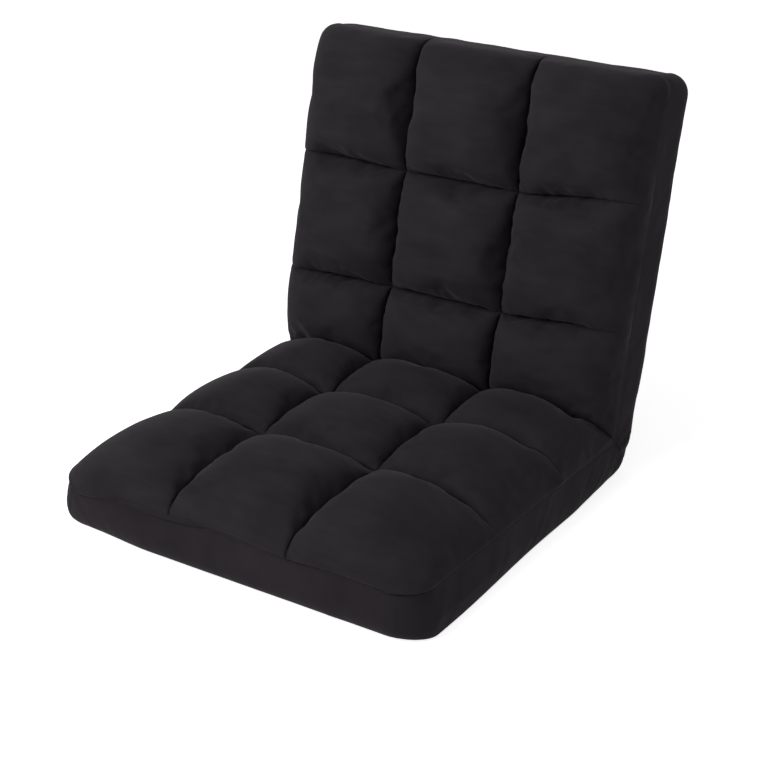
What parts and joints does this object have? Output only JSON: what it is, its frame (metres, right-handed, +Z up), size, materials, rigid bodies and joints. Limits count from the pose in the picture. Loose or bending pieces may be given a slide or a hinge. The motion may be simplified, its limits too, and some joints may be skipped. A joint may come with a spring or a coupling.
{
  "type": "folding floor chair",
  "caption": "Legless folding floor chair: a quilted dark fabric pad in two halves, with a backrest that reclines in ratchet steps down to flat and folds over the seat.",
  "frame": {"origin": "on the floor, under the middle of the seat half", "axes": "+Z up, -Y towards the front edge of the seat, X along the fold axis and across the chair"},
  "size_m": [0.54, 0.6488, 0.5385],
  "materials": {
    "quilted_fabric": "matte",
    "cover_fabric": "matte",
    "felt": "matte",
    "foam": "matte",
    "webbing": "matte",
    "frame_paint": "satin",
    "hinge_steel": "satin",
    "spring_steel": "satin"
  },
  "bodies": {
    "seat_half": {"seat_front_cushion": "quilted_fabric", "seat_middle_cushion": "quilted_fabric", "seat_rear_cushion": "quilted_fabric", "seat_border": "cover_fabric", "seat_bottom_panel": "cover_fabric", "fold_cover": "cover_fabric", "seat_felt": "felt", "seat_base_foam": "foam", "seat_frame_tube": "frame_paint", "seat_cross_tube": "frame_paint", "seat_strap_1": "webbing", "seat_strap_2": "webbing", "seat_strap_3": "webbing", "seat_tube_rivets": "hinge_steel", "left_hinge_outer_plate": "hinge_steel", "left_hinge_inner_plate": "hinge_steel", "left_hinge_spacer": "hinge_steel", "left_pivot_rivet": "hinge_steel", "left_pawl_pin": "hinge_steel", "left_pawl_spring": "spring_steel", "right_hinge_outer_plate": "hinge_steel", "right_hinge_inner_plate": "hinge_steel", "right_hinge_spacer": "hinge_steel", "right_pivot_rivet": "hinge_steel", "right_pawl_pin": "hinge_steel", "right_pawl_spring": "spring_steel"},
    "back_half": {"back_lower_cushion": "quilted_fabric", "back_middle_cushion": "quilted_fabric", "back_upper_cushion": "quilted_fabric", "back_border": "cover_fabric", "back_rear_panel": "cover_fabric", "back_felt": "felt", "back_base_foam": "foam", "back_frame_tube": "frame_paint", "back_cross_tube": "frame_paint", "back_strap_1": "webbing", "back_strap_2": "webbing", "back_strap_3": "webbing", "back_tube_rivets": "hinge_steel", "left_ratchet_gear": "hinge_steel", "right_ratchet_gear": "hinge_steel"},
    "left_pawl": {"left_pawl": "hinge_steel"},
    "right_pawl": {"right_pawl": "hinge_steel"}
  },
  "joints": [
    {"name": "backrest_recline", "type": "hinge", "parent": "seat_half", "child": "back_half", "pos_m": [0, 0.2525, 0.045], "axis": [-1, 0, 0], "range_deg": [-48, 78], "deforming": ["seat_rear_cushion", "back_lower_cushion", "fold_cover"]},
    {"name": "left_pawl_engage", "type": "hinge", "parent": "seat_half", "child": "left_pawl", "pos_m": [0.2175, 0.21322, 0.045], "axis": [1, 0, 0], "range_deg": [0, 5], "deforming": ["left_pawl_spring"]},
    {"name": "right_pawl_engage", "type": "hinge", "parent": "seat_half", "child": "right_pawl", "pos_m": [-0.2175, 0.21322, 0.045], "axis": [1, 0, 0], "range_deg": [0, 5], "deforming": ["right_pawl_spring"]}
  ],
  "couplings": [
    {"joint": "right_pawl_engage", "follows": "left_pawl_engage", "ratio": 1}
  ]
}
